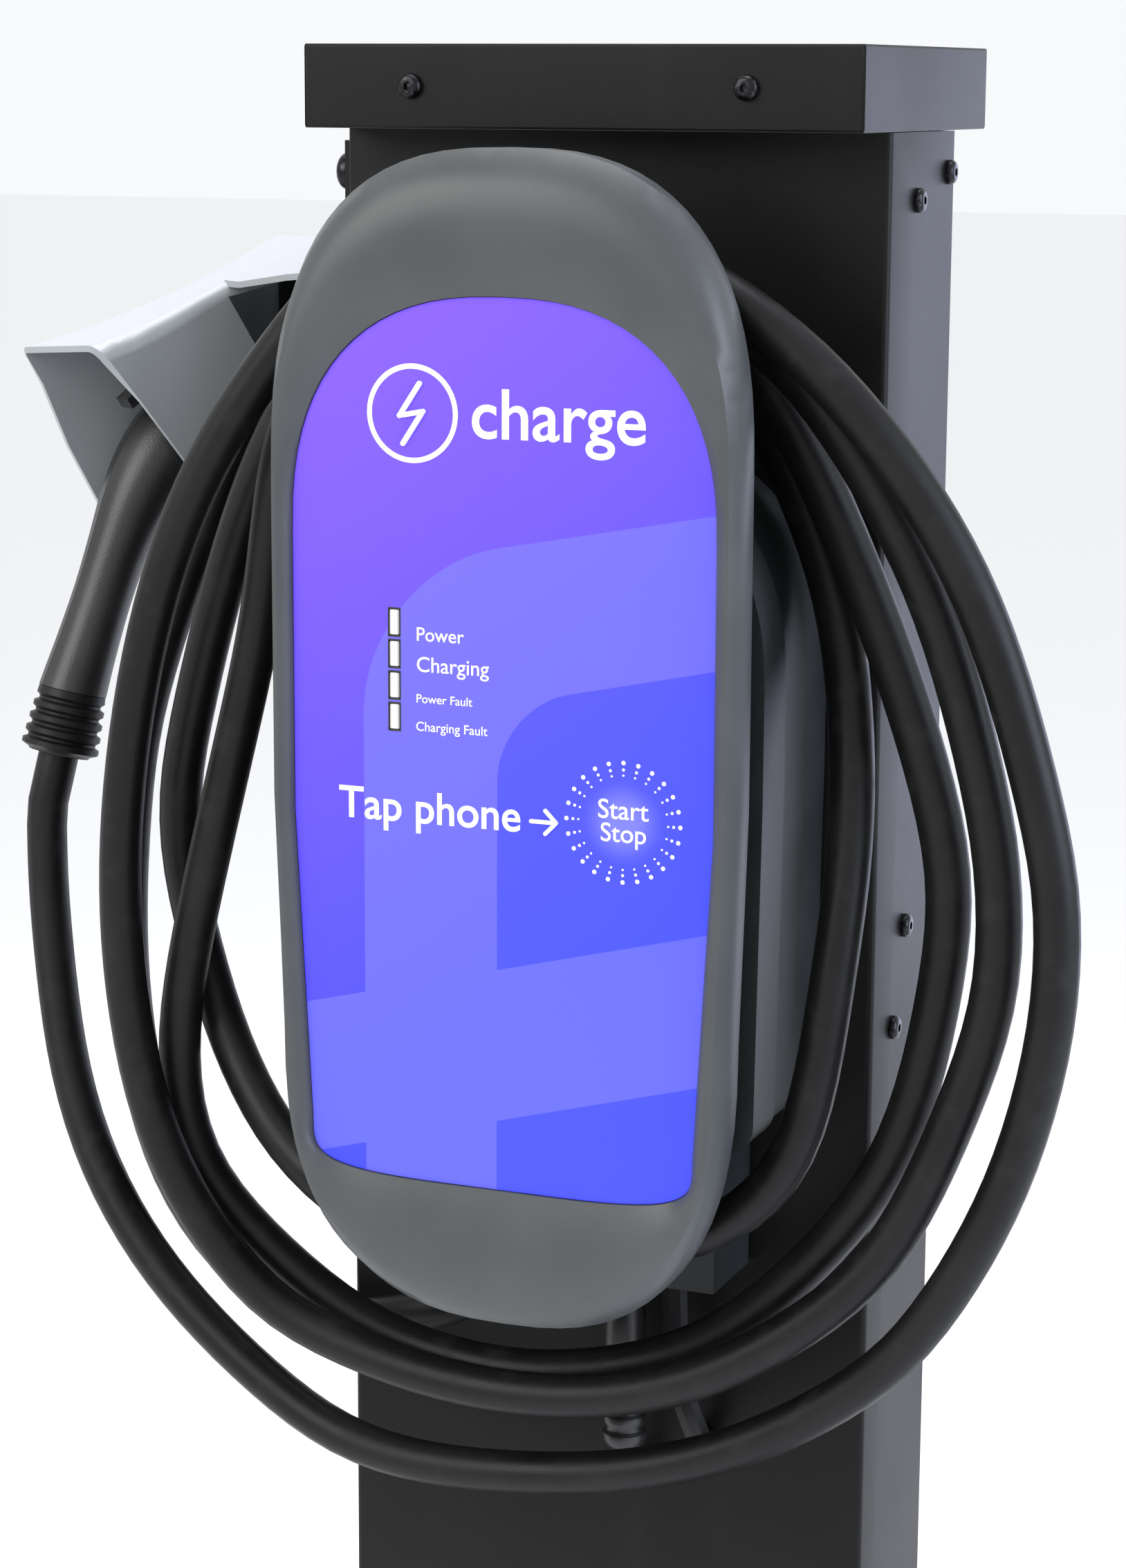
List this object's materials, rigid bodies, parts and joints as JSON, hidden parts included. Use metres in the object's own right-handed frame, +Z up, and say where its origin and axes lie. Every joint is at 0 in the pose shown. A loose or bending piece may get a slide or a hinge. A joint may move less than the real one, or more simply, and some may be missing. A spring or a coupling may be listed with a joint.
{
  "type": "ev charging post",
  "caption": "Capped steel post on a base plate with a wall-box charger, a hooded holster for its connector and a long cable hung in loose turns round the charger.",
  "frame": {"origin": "on the ground at the centre of the post's footprint, on the base plate's underside", "axes": "+Z up; the charger faces -Y; +X to the right of a person facing the charger, the holster is on -X"},
  "size_m": [0.5505, 0.288, 1.372],
  "materials": {
    "charcoal": "fine-textured powder coat",
    "galvanised": "zinc-coated",
    "black_screw": "black zinc",
    "cover": "satin moulded",
    "housing": "fine moulded grain",
    "rubber": "matte",
    "label": "printed film",
    "lens": "clear over white",
    "board": "solder mask",
    "relay": "moulded",
    "hood": "satin moulded",
    "handle": "fine moulded grain",
    "brass": "plated",
    "steel": "drawn wire"
  },
  "bodies": {
    "post": {"base_plate": "charcoal", "post_channel": "charcoal", "rear_cover": "charcoal", "cap": "charcoal", "holster_bracket": "charcoal", "anchor_bolt_1": "galvanised", "anchor_bolt_2": "galvanised", "anchor_bolt_3": "galvanised", "anchor_bolt_4": "galvanised", "upper_crossbar": "galvanised", "lower_crossbar": "galvanised", "cap_tray": "galvanised", "mounting_plate": "galvanised", "cap_screw_left": "black_screw", "cap_screw_right": "black_screw", "left_screw_upper_rear": "black_screw", "left_screw_upper_front": "black_screw", "left_screw_middle": "black_screw", "left_screw_lower": "black_screw", "left_screw_foot": "black_screw", "right_screw_upper_rear": "black_screw", "right_screw_upper_front": "black_screw", "right_screw_middle": "black_screw", "right_screw_lower": "black_screw", "right_screw_foot": "black_screw", "bracket_bolt_1": "black_screw", "bracket_bolt_2": "black_screw", "front_cover": "cover", "rear_housing": "housing", "cover_gasket": "rubber", "strain_relief": "rubber", "supply_lead": "rubber", "network_lead": "rubber", "charging_cable": "rubber", "label_panel": "label", "lens_power": "lens", "lens_charging": "lens", "lens_power_fault": "lens", "lens_charging_fault": "lens", "terminal_block": "lens", "main_board": "board", "tap_reader": "board", "contactor": "relay", "current_sensor": "relay", "holster_hood": "hood", "cable_gland": "handle", "supply_fitting": "handle", "connector_dock": "handle"},
    "connector": {"handle_shell_left": "handle", "handle_shell_right": "handle", "connector_nose": "handle", "contact_line_1": "brass", "contact_line_2": "brass", "contact_ground": "brass", "contact_pilot": "brass", "contact_proximity": "brass", "latch_pin": "steel", "latch_spring": "steel", "handle_boot": "rubber"},
    "latch": {"latch_lever": "handle"}
  },
  "joints": [
    {"name": "connector_lift", "type": "slide", "parent": "post", "child": "connector", "axis": [-0.5736, -0.8192, 0], "range_m": [0, 0.035], "deforming": ["charging_cable"]},
    {"name": "latch_press", "type": "hinge", "parent": "connector", "child": "latch", "pos_m": [-0.24105, 0.02514, 1.2227], "axis": [0.8192, -0.5736, 0], "range_deg": [0, 7], "stiffness_Nm_per_rad": 0.6, "springref_deg": -6.88, "deforming": ["latch_spring"]}
  ]
}
